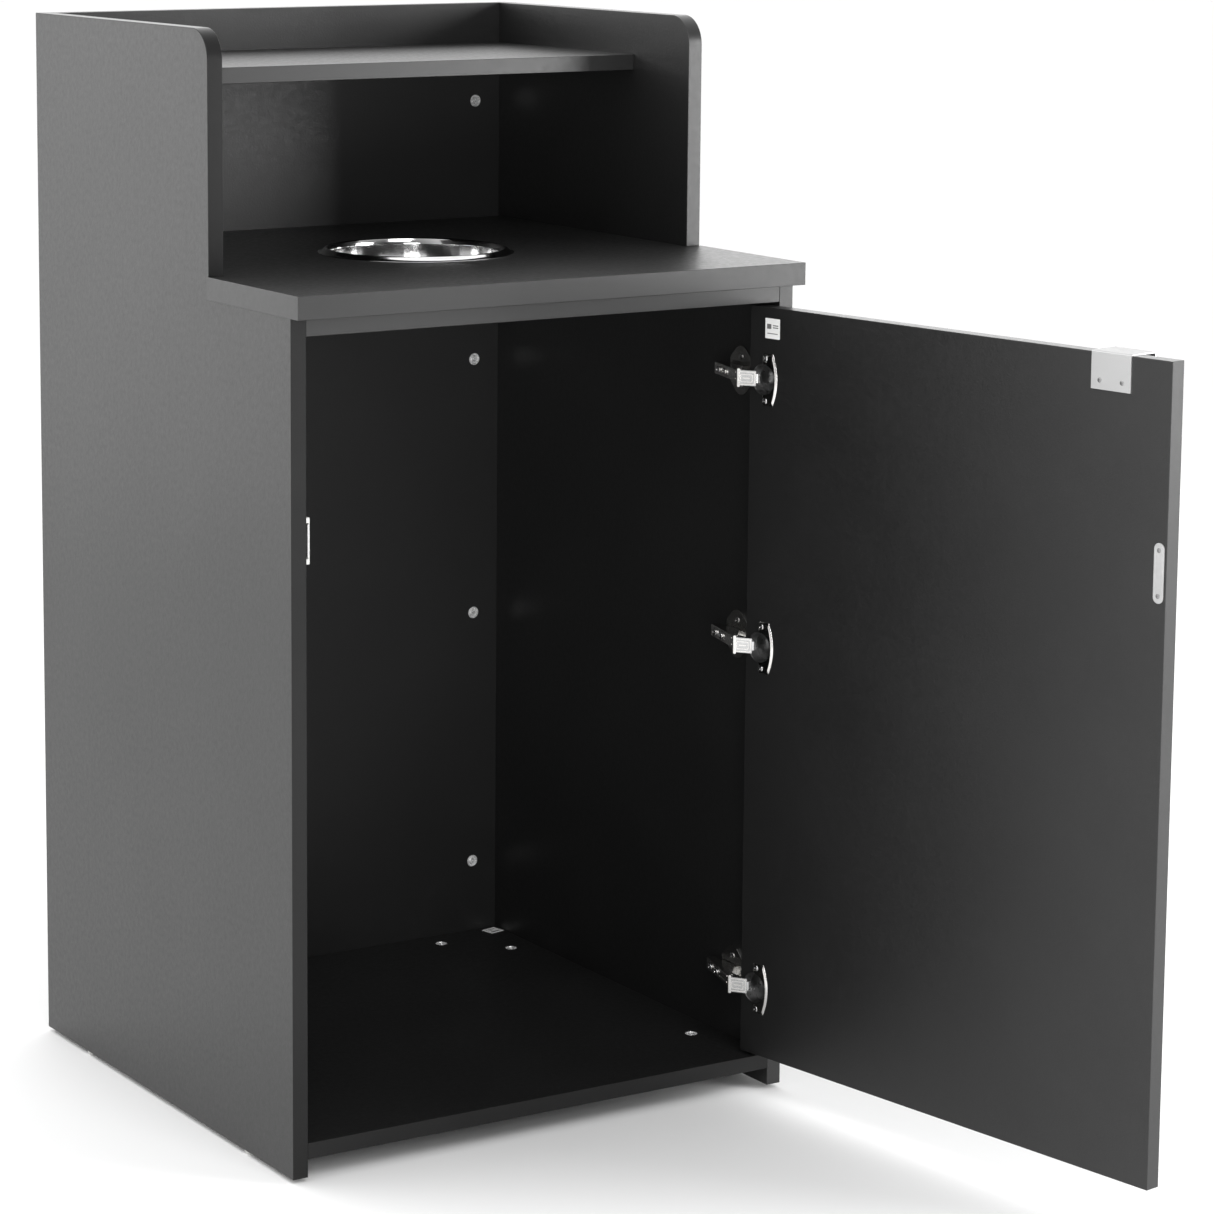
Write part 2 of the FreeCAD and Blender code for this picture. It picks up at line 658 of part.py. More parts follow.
door_band = new_body("door_edge_band")
band_sketch = new_sketch(door_band, "+y", -s.pole_depth)
add_outline(band_sketch, rectangle(door_left, DOOR_BOTTOM, DOOR_EDGE, DOOR_TOP))
add_outline(band_sketch, rectangle(door_left + s.band, DOOR_BOTTOM + s.band,
                                   DOOR_EDGE - s.band, DOOR_TOP - s.band))
pad(door_band, band_sketch, "+y", s.board)


def door_pull():
    """A bent plate: a leg on the door's inner face, a bridge over its top, a lip in front."""
    inside = DOOR_INSIDE
    lip = inside - s.board - s.pull_reach
    top = DOOR_TOP + s.pull_sheet
    sheet_size = s.pull_sheet
    body = slab("door_pull", "+x", [
        (inside, DOOR_TOP - s.pull_leg), (inside + sheet_size, DOOR_TOP - s.pull_leg),
        (inside + sheet_size, top, sheet_size), (lip, top, sheet_size),
        (lip, top - s.pull_lip), (lip + sheet_size, top - s.pull_lip),
        (lip + sheet_size, DOOR_TOP), (inside, DOOR_TOP)], s.pull_width, start=PULL_X)
    bore(body, "-y", inside + sheet_size, pull_screw_spots, SMALL_SCREW_BORE, sheet_size)
    return body


pull = door_pull()
strike = new_body("strike_plate")
strike_sketch = new_sketch(strike, "+y", DOOR_INSIDE)
half_length, half_width = s.strike_length / 2, s.strike_width / 2
corner = half_width - 0.1
add_outline(strike_sketch, [
    (STRIKE_X - half_width, s.strike_height - half_length, corner),
    (STRIKE_X + half_width, s.strike_height - half_length, corner),
    (STRIKE_X + half_width, s.strike_height + half_length, corner),
    (STRIKE_X - half_width, s.strike_height + half_length, corner)])
pad(strike, strike_sketch, "+y", s.strike_sheet)
bore(strike, "-y", DOOR_INSIDE + s.strike_sheet, strike_screw_spots, SMALL_SCREW_BORE,
     s.strike_sheet)
label = slab("door_label", "+y",
             rectangle(DOOR_EDGE - 23 - s.label_size, DOOR_TOP - 35, DOOR_EDGE - 23,
                       DOOR_TOP - 35 + s.label_size), s.label_sheet, start=DOOR_INSIDE)
pull_screws = group("pull_screws", [
    screw((x, DOOR_INSIDE + s.pull_sheet, height), "-y", *SMALL_SCREW)
    for x, height in pull_screw_spots])
strike_screws = group("strike_screws", [
    screw((x, DOOR_INSIDE + s.strike_sheet, height), "-y", *SMALL_SCREW)
    for x, height in strike_screw_spots])
for node in (door, door_band, pull, strike, label, pull_screws, strike_screws):
    on_door(node)

# ---------------------------------------------------------------- hinge cups (on the door)


def hinge_cup(name, height):
    """A pressed cup: round pan, round flange, and a lens-shaped flange with two screw ears."""
    body = new_body(f"hinge_cup_{name}")
    pan = new_sketch(body, "-y", DOOR_INSIDE)
    add_circle(pan, CUP_X, height, s.cup_radius)
    pad(body, pan, "-y", s.cup_depth)
    disc = new_sketch(body, "+y", DOOR_INSIDE)
    add_circle(disc, CUP_X, height, s.flange_radius)
    pad(body, disc, "+y", s.flange)
    lens = new_sketch(body, "+y", DOOR_INSIDE)
    ear_in, ear_out = EAR_X + 5.5, EAR_X - 6
    bulge = CUP_X - s.flange_radius
    add_lens(lens, ear_in, ear_out, bulge, height)
    pad(body, lens, "+y", s.flange)
    bore(body, "-y", DOOR_INSIDE + s.flange, [(CUP_X, height)],
         (s.cup_radius - s.cup_wall) * 2, s.flange + s.cup_depth - s.cup_wall)
    bore(body, "-y", DOOR_INSIDE + s.flange,
         [(EAR_X, height + end * s.ear_pitch / 2) for end in (-1, 1)],
         SMALL_SCREW_BORE, s.flange)
    return body


def add_lens(sketch, ear_in, ear_out, bulge, height):
    """The flange's outline: a straight side by the hinge edge and a bulging far side."""
    top, bottom = height + s.ear_reach, height - s.ear_reach
    points = [(ear_in, bottom), (ear_in, top), (ear_out, top), (ear_out, bottom)]
    for start, end in ((0, 1), (1, 2), (3, 0)):
        line = sketch.addGeometry(Part.LineSegment(
            *(Vector(p[0].value, as_size(p[1]).value, 0) for p in (points[start], points[end]))))
        pin_point(sketch, line, 1, *points[start])
        pin_point(sketch, line, 2, *points[end])
    arc = sketch.addGeometry(Part.Arc(
        Vector(ear_out.value, top.value, 0), Vector(bulge.value, height.value, 0),
        Vector(ear_out.value, bottom.value, 0)))
    ends = (1, 2) if sketch.getPoint(arc, 1).y > height.value else (2, 1)
    pin_point(sketch, arc, ends[0], ear_out, top)
    pin_point(sketch, arc, ends[1], ear_out, bottom)
    rise = ear_out - bulge
    radius = (rise * rise + s.ear_reach * s.ear_reach) / (rise * 2)
    index = sketch.addConstraint(Sketcher.Constraint("Radius", arc, radius.value))
    bind(sketch, f"Constraints[{index}]", radius)


for name, height in HINGES.items():
    on_door(hinge_cup(name, height))
cup_screws = group("cup_screws", [
    screw((x, DOOR_INSIDE + s.flange, height), "-y", *CUP_SCREW)
    for x, height in cup_screw_spots])
on_door(cup_screws)

# ---------------------------------------------------------------- hinge links

# Outlines seen from above with the door closed, measured from the link's arm pivot.
LINK_LEG = [(-3.9, 1), (-6.4, -7.6), (-5.8, -9.2), (13, -19.7), (13.6, -18.8), (12.6, -18.2),
            (9.6, -15.4), (7.7, -11.5), (7.5, -6.5), (3.6, 0.8), (2.4, 2.8), (0, 3.6),
            (-2.6, 2.8)]
LINK_CHANNEL = [(-9, -5.6), (13.4, -18.2), (14.5, -14), (9, 0), (4, 6), (-9, 6)]
LINK_TIP = [(9.5, -17.7), (13, -19.7), (15.2, -19.8), (18, -17.8), (18.7, -15.4), (17.7, -13.2),
            (15.6, -12.9), (14.3, -14.3), (12.2, -15.6), (9.8, -15.4)]
LINK_SLOT = [(7, -14.6), (13.4, -18.2), (22, -18.4), (22, -10), (7, -10)]
INNER_LINK = [(3.2, 3), (6.2, 3.4), (7.5, 0.5), (7.2, -6), (7.9, -11.2), (9.6, -14.2),
              (12.5, -15.9), (15, -13.3), (17.4, -13.4), (18.3, -15.4), (17.2, -17.3),
              (14.5, -18), (13.2, -17.7), (9, -15.4), (6.2, -13.6), (4.6, -10), (3.4, -4)]
LINK_CHEEK = 1.5
PRONG_HEIGHT = 10
SLOT_HEIGHT = 6
INNER_HEIGHT = 5
CUP_PIN = (16.4, -15.2)
INNER_PIN = (5.4, 0.9)
INNER_PIN_LENGTH = 9


def numbers(points):
    return [(Size(x), Size(y)) for x, y in points]


def outer_link(name):
    """A bent channel that straddles the arm's nose and ends in two prongs inside the cup."""
    half = s.link_height / 2
    body = slab(f"outer_link_{name}", "+z", numbers(LINK_LEG), s.link_height, start=-half)
    inside = new_sketch(body, "+z", LINK_CHEEK - half)
    add_outline(inside, numbers(LINK_CHANNEL))
    pocket(body, inside, "+z", s.link_height - 2 * LINK_CHEEK)
    tip = new_sketch(body, "+z", -PRONG_HEIGHT / 2)
    add_outline(tip, numbers(LINK_TIP))
    pad(body, tip, "+z", PRONG_HEIGHT)
    slot = new_sketch(body, "+z", -SLOT_HEIGHT / 2)
    add_outline(slot, numbers(LINK_SLOT))
    pocket(body, slot, "+z", SLOT_HEIGHT)
    bore(body, "+z", -half, [(0, 0)], s.pin_diameter + 2 * s.running_gap, s.link_height)
    bore(body, "+z", -half, [CUP_PIN], s.pin_diameter, s.link_height)
    return body


def inner_link(name):
    """A bar that runs inside the outer link's channel and holds a pin at each end."""
    body = slab(f"inner_link_{name}", "+z", numbers(INNER_LINK), INNER_HEIGHT,
                start=-INNER_HEIGHT / 2)
    bore(body, "+z", -INNER_HEIGHT / 2, [CUP_PIN, INNER_PIN], s.pin_diameter, INNER_HEIGHT)
    return body


link_pins = []
for name, height in HINGES.items():
    for node in (outer_link(name), inner_link(name)):
        on_link(node, height)
    for spot, length in ((CUP_PIN, PRONG_HEIGHT), (INNER_PIN, INNER_PIN_LENGTH)):
        link_pins.append(rod((*spot, height - length / 2), "+z", s.pin_diameter / 2, length))
on_link(group("link_pins", link_pins), 0)

# ---------------------------------------------------------------- hinge arms and plates

# Arm outlines seen from above: x from the right panel's inner face, y from the cabinet front.
ARM_SIDE = [(-33.3, 28.2), (-32, 26.4), (-29.6, 26.2), (-27.8, 28.2), (-24.5, 37), (-20, 43),
            (-3.5, 62), (-3.5, 104), (-13.5, 104), (-33, 31)]
ARM_CHANNEL = [(-31.9, 20), (-31.9, 28.5), (-31.6, 30.6), (-11.6, 105.5), (0, 105.5), (0, 20)]
ARM_HEIGHT = 13.2
ARM_CHEEK = 1.5
PLATE_BLOCK = [(-2, 60), (-2, 100), (-12.6, 100), (-23.3, 60)]
PLATE_BLOCK_HEIGHT = 9.6
WING = [(-21, -11.5), (-19.6, -14.6), (-9.5, -24.6), (-5, -27.2), (0, -28), (5, -27.2),
        (9.5, -24.6), (19.6, -14.6), (21, -11.5), (21, 11.5), (19.6, 14.6), (9.5, 24.6),
        (5, 27.2), (0, 28), (-5, 27.2), (-9.5, 24.6), (-19.6, 14.6), (-21, 11.5)]
ARM_SCREW_SEATS = [(-24.2, 70), (-19.2, 89)]
ARM_SCREW_HEAD = (3.8, 1.8)
ARM_SCREW_RADIUS = 2
ARM_SCREW_LENGTH = 14


def hinge_arm(name):
    """A U-channel, open towards the side panel, whose two cheeks hold the link pin."""
    body = slab(f"hinge_arm_{name}", "+z", numbers(ARM_SIDE), ARM_HEIGHT,
                start=-ARM_HEIGHT / 2)
    channel = new_sketch(body, "+z", ARM_CHEEK - ARM_HEIGHT / 2)
    add_outline(channel, numbers(ARM_CHANNEL))
    pocket(body, channel, "+z", ARM_HEIGHT - 2 * ARM_CHEEK)
    bore(body, "+z", -ARM_HEIGHT / 2, [(-s.link_pivot_inset, s.link_pivot_depth)],
         s.pin_diameter, ARM_HEIGHT)
    for x, y in ARM_SCREW_SEATS:
        bore(body, "+x", x, [(y, 0)], ARM_SCREW_RADIUS * 2, ARM_SCREW_LENGTH / 2)
    return body


def mounting_plate(name):
    """A winged plate screwed to the side panel, with the block that the arm clamps on."""
    body = slab(f"hinge_plate_{name}", "+x", [(y + s.plate_depth, z) for y, z in WING],
                s.plate_thickness, start=-s.plate_thickness)
    rise = new_sketch(body, "+z", -PLATE_BLOCK_HEIGHT / 2)
    add_outline(rise, numbers(PLATE_BLOCK))
    pad(body, rise, "+z", PLATE_BLOCK_HEIGHT)
    for x, y in ARM_SCREW_SEATS:
        bore(body, "+x", x, [(y, 0)], ARM_SCREW_RADIUS * 2, ARM_SCREW_LENGTH)
    bore(body, "-x", 0, [(s.plate_depth, end * s.plate_screw_pitch / 2)
                         for end in (-1, 1)], PLATE_SCREW_BORE, s.plate_thickness)
    return body


arm_pins, plate_screws, arm_screws = [], [], []
for name, height in HINGES.items():
    for node in (hinge_arm(name), mounting_plate(name)):
        on_cabinet(node, INNER_RIGHT, 0, height)
    arm_pins.append(rod((-s.link_pivot_inset, s.link_pivot_depth, height - s.link_height / 2),
                        "+z", s.pin_diameter / 2, s.link_height))
    for end in (-1, 1):
        plate_screws.append(screw(
            (-s.plate_thickness, s.plate_depth, height + end * s.plate_screw_pitch / 2),
            "+x", *PLATE_SCREW, s.plate_thickness + PLATE_SCREW_BITE))
    for x, y in ARM_SCREW_SEATS:
        arm_screws.append(screw((x, y, height), "+x", *ARM_SCREW_HEAD, ARM_SCREW_RADIUS,
                                ARM_SCREW_LENGTH))
for label, pieces in (("arm_pins", arm_pins), ("plate_screws", plate_screws),
                      ("arm_screws", arm_screws)):
    on_cabinet(group(label, pieces), INNER_RIGHT)

# ---------------------------------------------------------------- checks and export

doc.recompute()
for item in doc.Objects:
    if "Invalid" in item.State or "Error" in item.State:
        raise RuntimeError(f"{item.Label} failed to recompute: {item.State}")
for node in nodes:
    if node.Shape.isNull() or not node.Shape.isValid():
        raise RuntimeError(f"{node.Label} has no valid shape")

os.makedirs("parts", exist_ok=True)
for node in nodes:
    node.Shape.exportStep(f"parts/{node.Label}.step")
print(len(nodes), "nodes written")
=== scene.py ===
import math

import bmesh
import bpy
from mathutils import Matrix, Vector
from mathutils.bvhtree import BVHTree


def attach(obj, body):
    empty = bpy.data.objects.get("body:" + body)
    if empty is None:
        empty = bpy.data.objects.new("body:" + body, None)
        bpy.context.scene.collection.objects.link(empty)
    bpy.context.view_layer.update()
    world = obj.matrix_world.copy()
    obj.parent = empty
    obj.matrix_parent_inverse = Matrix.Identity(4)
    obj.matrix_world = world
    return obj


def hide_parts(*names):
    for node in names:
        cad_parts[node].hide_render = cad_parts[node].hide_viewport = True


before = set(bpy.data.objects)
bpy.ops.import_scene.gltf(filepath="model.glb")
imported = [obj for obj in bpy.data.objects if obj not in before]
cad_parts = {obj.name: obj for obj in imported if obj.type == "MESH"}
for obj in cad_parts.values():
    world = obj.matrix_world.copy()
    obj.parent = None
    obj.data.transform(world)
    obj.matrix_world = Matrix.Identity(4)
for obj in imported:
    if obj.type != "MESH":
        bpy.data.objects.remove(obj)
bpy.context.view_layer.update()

# Detailed pieces and materials for a laminate waste cabinet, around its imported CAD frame.
# Shapes are drawn in millimetres in a piece's own axes and then placed in the row frame.

MM = 0.001


def placed(x, y, z, turn=0.0):
    """A placement in the row frame: millimetres, then a turn about +Z in degrees."""
    return (Matrix.Translation(Vector((x, y, z)) * MM)
            @ Matrix.Rotation(math.radians(turn), 4, "Z") @ Matrix.Scale(MM, 4))


# Places that the CAD model also uses.
FRONT, GLIDE_RISE, INNER_RIGHT = -306.5, 5, 300.5
BACK_FACE, FLOOR_TOP, COUNTER_TOP, SHELF_UNDER = 595, 38, 950, 1147
DOOR_TURN, LINK_TURN = 99.2, -23.808
HINGE_HEIGHTS = {"upper": 820, "middle": 516, "lower": 120}
DOOR_EDGE, DOOR_INSIDE, DOOR_TOP = 11, 9.25, 901.5
CUP_X, EAR_X, EAR_REACH, EAR_SCREW_REACH = -11.5, -14, 29.5, 24
ARM_PIN, LINK_PINS = (-30.5, 29), (((16.4, -15.2), 10), ((5.4, 0.9), 9))
PLATE_SCREW_X, PLATE_SCREW_DEPTH, PLATE_SCREW_REACH = -2, 69, 16
ARM_SCREW_SPOTS = ((-24.2, 70), (-19.2, 89))
RAIL_UNDER, RAIL_MIDDLE, COUNTER_SCREW_X = 905, 40, (-250, -90, 90, 250)
PULL_MIDDLE, PULL_SCREW_REACH, PULL_SCREW_HEIGHT = -531.5 + 25.75, 14.5, 873
STRIKE_X, STRIKE_HEIGHT, STRIKE_SCREW_REACH = -574, 686, 23.5
PULL_THICKNESS, STRIKE_THICKNESS, FLANGE_THICKNESS = 1.5, 1.2, 1.2
CAM_X, BACK_CAM_LOWEST, BACK_CAM_STEP = 266.5, 128, 322
FLOOR_CAM_DEPTHS, SHELF_CAM_DEPTHS, FLOOR_BACK_CAM = (104, 501), (356, 535), (200.5, 561)
GLIDE_X, GLIDE_DEPTHS = 309.5, (109, 504)
CABINET = placed(0, FRONT, GLIDE_RISE)
DOOR = placed(285.5, -297.75, GLIDE_RISE, DOOR_TURN)
RIGHT_WALL = placed(INNER_RIGHT, FRONT, GLIDE_RISE)


def link_place(height):
    return placed(270, -277.5, GLIDE_RISE + height, LINK_TURN)


# ---------------------------------------------------------------- materials


class Nodes:
    """A small helper for wiring a material's node tree."""

    def __init__(self, name):
        self.material = bpy.data.materials.new(name)
        self.material.use_nodes = True
        self.tree = self.material.node_tree
        self.shader = self.tree.nodes["Principled BSDF"]
        self.place = self.add("ShaderNodeTexCoord").outputs["Object"]

    def add(self, kind, **values):
        node = self.tree.nodes.new(kind)
        for key, value in values.items():
            if hasattr(node, key):
                setattr(node, key, value)
            else:
                node.inputs[key.replace("_", " ")].default_value = value
        return node

    def link(self, output, target):
        self.tree.links.new(output, target)

    def noise(self, scale, detail=2.0, roughness=0.5, source=None):
        node = self.add("ShaderNodeTexNoise", Scale=scale, Detail=detail, Roughness=roughness)
        self.link(source or self.place, node.inputs["Vector"])
        return node.outputs["Fac"]

    def stretched(self, x, y, z):
        node = self.add("ShaderNodeMapping", Scale=(x, y, z))
        self.link(self.place, node.inputs["Vector"])
        return node.outputs["Vector"]

    def upward(self):
        """How far a face looks up: 1 on top, 0 on a wall."""
        split = self.add("ShaderNodeSeparateXYZ")
        self.link(self.add("ShaderNodeNewGeometry").outputs["Normal"], split.inputs["Vector"])
        return split.outputs["Z"]

    def ramp(self, source, stops, target):
        """Maps a 0 to 1 value to colours and feeds them to a shader input."""
        node = self.add("ShaderNodeValToRGB")
        elements = node.color_ramp.elements
        while len(elements) < len(stops):
            elements.new(0.5)
        for element, (position, colour) in zip(elements, stops):
            element.position = position
            element.color = (*colour, 1)
        self.link(source, node.inputs["Fac"])
        self.link(node.outputs["Color"], target)
        return node.outputs["Color"]

    def span(self, source, low, high, target, start=0.3, end=0.7):
        node = self.add("ShaderNodeMapRange", **{
            "From_Min": start, "From_Max": end, "To_Min": low, "To_Max": high})
        self.link(source, node.inputs["Value"])
        if target is not None:
            self.link(node.outputs["Result"], target)
        return node.outputs["Result"]

    def bump(self, layers, depth):
        """Adds up (source, share) layers of height into one bump, depth in metres."""
        total = None
        for source, share in layers:
            scaled = self.add("ShaderNodeMath", operation="MULTIPLY")
            scaled.inputs[1].default_value = share
            self.link(source, scaled.inputs[0])
            if total is None:
                total = scaled.outputs[0]
            else:
                joined = self.add("ShaderNodeMath", operation="ADD")
                self.link(total, joined.inputs[0])
                self.link(scaled.outputs[0], joined.inputs[1])
                total = joined.outputs[0]
        node = self.add("ShaderNodeBump", Strength=1.0, Distance=depth)
        self.link(total, node.inputs["Height"])
        self.link(node.outputs["Normal"], self.shader.inputs["Normal"])

    def set(self, **values):
        for key, value in values.items():
            self.shader.inputs[key.replace("_", " ")].default_value = value


def grey(level):
    return (level, level, level)


def laminate(name, dark, light, smooth, rough, depth):
    """Black melamine board: a fine orange-peel press texture over an almost black film."""
    m = Nodes(name)
    m.set(IOR=1.55)
    m.ramp(m.noise(7, 3, 0.6), [(0.3, grey(dark)), (0.7, grey(light))],
           m.shader.inputs["Base Color"])
    m.span(m.noise(160, 3, 0.6), smooth, rough, m.shader.inputs["Roughness"])
    m.bump([(m.noise(420, 2, 0.6), 1.0), (m.noise(1500, 1, 0.5), 0.4), (m.noise(90, 2), 0.12)],
           depth)
    return m.material


def metal(name, dark, light, smooth, rough, depth=2e-6, scale=300, brushed=None, top=None):
    """Bare or plated metal, faintly cloudy. Given a top grey, its upward faces get that grey as
    painted shade.
    """
    m = Nodes(name)
    m.set(Metallic=1.0)
    # A top grey paints shade on upward faces, in place of the cloudy tone.
    if top:
        m.ramp(m.upward(), [(0.5, light), (0.9, top)], m.shader.inputs["Base Color"])
    else:
        m.ramp(m.noise(60, 3, 0.6), [(0.3, dark), (0.7, light)], m.shader.inputs["Base Color"])
    grain = m.noise(scale, 3, 0.6, m.stretched(*brushed) if brushed else None)
    m.span(grain, smooth, rough, m.shader.inputs["Roughness"])
    m.bump([(grain, 1.0)], depth)
    return m.material


def plastic(name, dark, light, smooth, rough, depth=2e-5, scale=900):
    m = Nodes(name)
    m.ramp(m.noise(40, 2), [(0.3, dark), (0.7, light)], m.shader.inputs["Base Color"])
    m.span(m.noise(120, 2), smooth, rough, m.shader.inputs["Roughness"])
    m.bump([(m.noise(scale, 2), 1.0)], depth)
    return m.material


def set_input(material, name, value):
    material.node_tree.nodes["Principled BSDF"].inputs[name].default_value = value


BOARD = laminate("black_laminate", 0.0095, 0.0130, 0.35, 0.45, 1.2e-4)
EDGE = laminate("black_edge_band", 0.012, 0.015, 0.33, 0.40, 2.5e-5)
# A darker copy of the edge band paints shade on the bands that lie in shade; its lower specular
# level dims their reflection too.
EDGE_BAND_PAINTED_SHADE = laminate("edge_band_painted_shade", 0.006, 0.009, 0.30, 0.36, 2.5e-5)
set_input(EDGE_BAND_PAINTED_SHADE, "Specular IOR Level", 0.25)
STAINLESS = metal("polished_stainless", grey(0.74), grey(0.82), 0.07, 0.14, 4e-7, 500)
SHEET = metal("satin_sheet_steel", grey(0.58), grey(0.66), 0.40, 0.50, 2e-6, 220, (1, 1, 14))
# The pull's upward faces take grey 0.34 instead of the steel's grey: painted shade on its top.
PULL_SHEET_PAINTED_TOP_SHADE = metal("pull_steel_painted_top_shade", grey(0.58), grey(0.62), 0.40, 0.50, 2e-6, 220, (1, 1, 14),
                   grey(0.34))
NICKEL = metal("bright_nickel", (0.66, 0.65, 0.63), (0.78, 0.77, 0.75), 0.12, 0.24, 1e-6)
# A darker copy of the nickel paints shade on the hinge cups' pans.
CUP_PAN_NICKEL_PAINTED_SHADE = metal("cup_pan_nickel_painted_shade", grey(0.20), grey(0.30), 0.26, 0.36, 1e-6)
# A darker copy of the nickel paints shade on the hinge links; the stamped frames on them keep the
# bright nickel.
LINK_NICKEL_PAINTED_SHADE = metal("link_nickel_painted_shade", grey(0.46), grey(0.60), 0.18, 0.30, 1e-6)
ZINC = metal("zinc_casting", grey(0.86), grey(0.95), 0.22, 0.32, 1.2e-5, 700)
set_input(ZINC, "Metallic", 0.45)
# A darker, rougher copy of the screw steel paints shade for the dark rings and recesses of the
# pull and strike screws.
PULL_SCREW_PAINTED_SHADE = metal("pull_screw_steel_painted_shade", grey(0.30), grey(0.40), 0.3, 0.4)
SCREW_STEEL = metal("plated_screw_steel", grey(0.62), grey(0.78), 0.16, 0.3, 1.5e-6)
GLIDE = plastic("glide_plastic", (0.50, 0.50, 0.48), (0.60, 0.60, 0.58), 0.42, 0.55)
CATCH = plastic("catch_plastic", (0.72, 0.72, 0.70), (0.80, 0.80, 0.78), 0.36, 0.48)
FERRITE = plastic("ferrite_magnet", grey(0.035), grey(0.06), 0.5, 0.7, 5e-5, 1200)
PAPER = plastic("sticker_paper", (0.90, 0.90, 0.89), (0.94, 0.94, 0.93), 0.45, 0.6, 6e-6, 1500)
INK = plastic("sticker_ink", grey(0.12), grey(0.18), 0.4, 0.55, 4e-6, 1500)

# ---------------------------------------------------------------- mesh helpers


def from_mesh(mesh):
    bm = bmesh.new()
    bm.from_mesh(mesh)
    return bm


def finish_piece(bm, name, material, body, nodes=(), matrix=None, sharp=35):
    """Turns a bmesh into a piece that rides on a body and may stand for CAD nodes."""
    if matrix is not None:
        bm.transform(matrix)
    bmesh.ops.recalc_face_normals(bm, faces=bm.faces)
    mesh = bpy.data.meshes.new(name)
    bm.to_mesh(mesh)
    bm.free()
    mesh.shade_smooth()
    mesh.set_sharp_from_angle(angle=math.radians(sharp))
    mesh.materials.append(material)
    piece = bpy.data.objects.new(name, mesh)
    bpy.context.scene.collection.objects.link(piece)
    normals = piece.modifiers.new("even_normals", "WEIGHTED_NORMAL")
    normals.keep_sharp, normals.weight = True, 100
    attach(piece, body)
    if nodes:
        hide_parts(*nodes)
    return piece


def cad_copy(node):
    """The CAD node's mesh, welded, with its flat faces made whole again."""
    bm = from_mesh(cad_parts[node].data)
    bmesh.ops.remove_doubles(bm, verts=bm.verts, dist=1e-6)
    bmesh.ops.dissolve_limit(bm, angle_limit=math.radians(0.6), verts=bm.verts, edges=bm.edges)
    return bm


def round_edges(bm, width, angle=28, segments=2, chosen=lambda edge: True):
    """Rounds the edges sharper than an angle, width in the bmesh's own units."""
    limit = math.radians(angle)
    edges = [e for e in bm.edges if len(e.link_faces) == 2
             and e.calc_face_angle(0) > limit and chosen(e)]
    bmesh.ops.bevel(bm, geom=edges, offset=width, segments=segments, profile=0.5,
                    affect="EDGES", clamp_overlap=True)
    return bm


def lathe(profile, turns=48, closed=False):
    """Spins (radius, height) points about +Z. A closed profile is a ring's section."""
    bm = bmesh.new()
    rings = []
    for radius, height in profile:
        if radius == 0:
            rings.append([bm.verts.new((0, 0, height))])
        else:
            rings.append([bm.verts.new((radius * math.cos(a), radius * math.sin(a), height))
                          for a in (2 * math.pi * k / turns for k in range(turns))])
    pairs = list(zip(rings, rings[1:]))
    if closed:
        pairs.append((rings[-1], rings[0]))
    for low, high in pairs:
        for k in range(turns):
            corners = [low[k % len(low)], low[(k + 1) % len(low)],
                       high[(k + 1) % len(high)], high[k % len(high)]]
            face = list(dict.fromkeys(corners))
            if len(face) > 2:
                bm.faces.new(face)
    return bm


def prism(outline, low, high):
    """A closed outline of (x, y) points, raised from low to high along +Z."""
    bm = bmesh.new()
    base = [bm.verts.new((x, y, low)) for x, y in outline]
    top = [bm.verts.new((x, y, high)) for x, y in outline]
    bm.faces.new(list(reversed(base)))
    bm.faces.new(top)
    for k in range(len(outline)):
        n = (k + 1) % len(outline)
        bm.faces.new([base[k], base[n], top[n], top[k]])
    return bm


def rounded_rectangle(width, height, radius, steps=5):
    points = []
    for cx, cy, start in ((1, 1, 0), (-1, 1, 90), (-1, -1, 180), (1, -1, 270)):
        for k in range(steps + 1):
            a = math.radians(start + 90 * k / steps)
            points.append((cx * (width / 2 - radius) + radius * math.cos(a),
                           cy * (height / 2 - radius) + radius * math.sin(a)))
    return points


def merge(*parts):
    """One bmesh that holds several, each given as a bmesh or as (bmesh, matrix)."""
    total = bmesh.new()
    for part in parts:
        bm, matrix = part if isinstance(part, tuple) else (part, Matrix.Identity(4))
        mesh = bpy.data.meshes.new("merge")
        copy = bm.copy()
        copy.transform(matrix)
        copy.to_mesh(mesh)
        copy.free()
        total.from_mesh(mesh)
        bpy.data.meshes.remove(mesh)
    return total


def carve(base, tool):
    """The base bmesh with the tool bmesh cut away."""
    objects = []
    for bm, name in ((base, "carve_base"), (tool, "carve_tool")):
        bmesh.ops.recalc_face_normals(bm, faces=bm.faces)
        mesh = bpy.data.meshes.new(name)
        bm.to_mesh(mesh)
        bm.free()
        obj = bpy.data.objects.new(name, mesh)
        bpy.context.scene.collection.objects.link(obj)
        objects.append(obj)
    modifier = objects[0].modifiers.new("carve", "BOOLEAN")
    modifier.operation = "DIFFERENCE"
    modifier.solver = "EXACT"
    modifier.object = objects[1]
    evaluated = objects[0].evaluated_get(bpy.context.evaluated_depsgraph_get())
    result = from_mesh(evaluated.to_mesh())
    for obj in objects:
        mesh = obj.data
        bpy.data.objects.remove(obj)
        bpy.data.meshes.remove(mesh)
    return result


def facing(axis, spin=0.0):
    """Turns +Z to an axis such as "-x", after a spin about +Z in degrees."""
    directions = {"+x": (1, 0, 0), "-x": (-1, 0, 0), "+y": (0, 1, 0), "-y": (0, -1, 0),
                  "+z": (0, 0, 1), "-z": (0, 0, -1)}
    turn = Vector(directions[axis]).to_track_quat("Z", "Y").to_matrix().to_4x4()
    return turn @ Matrix.Rotation(math.radians(spin), 4, "Z")


def at(x, y, z, axis="+z", spin=0.0):
    return Matrix.Translation((x, y, z)) @ facing(axis, spin)


# ---------------------------------------------------------------- boards and edge bands

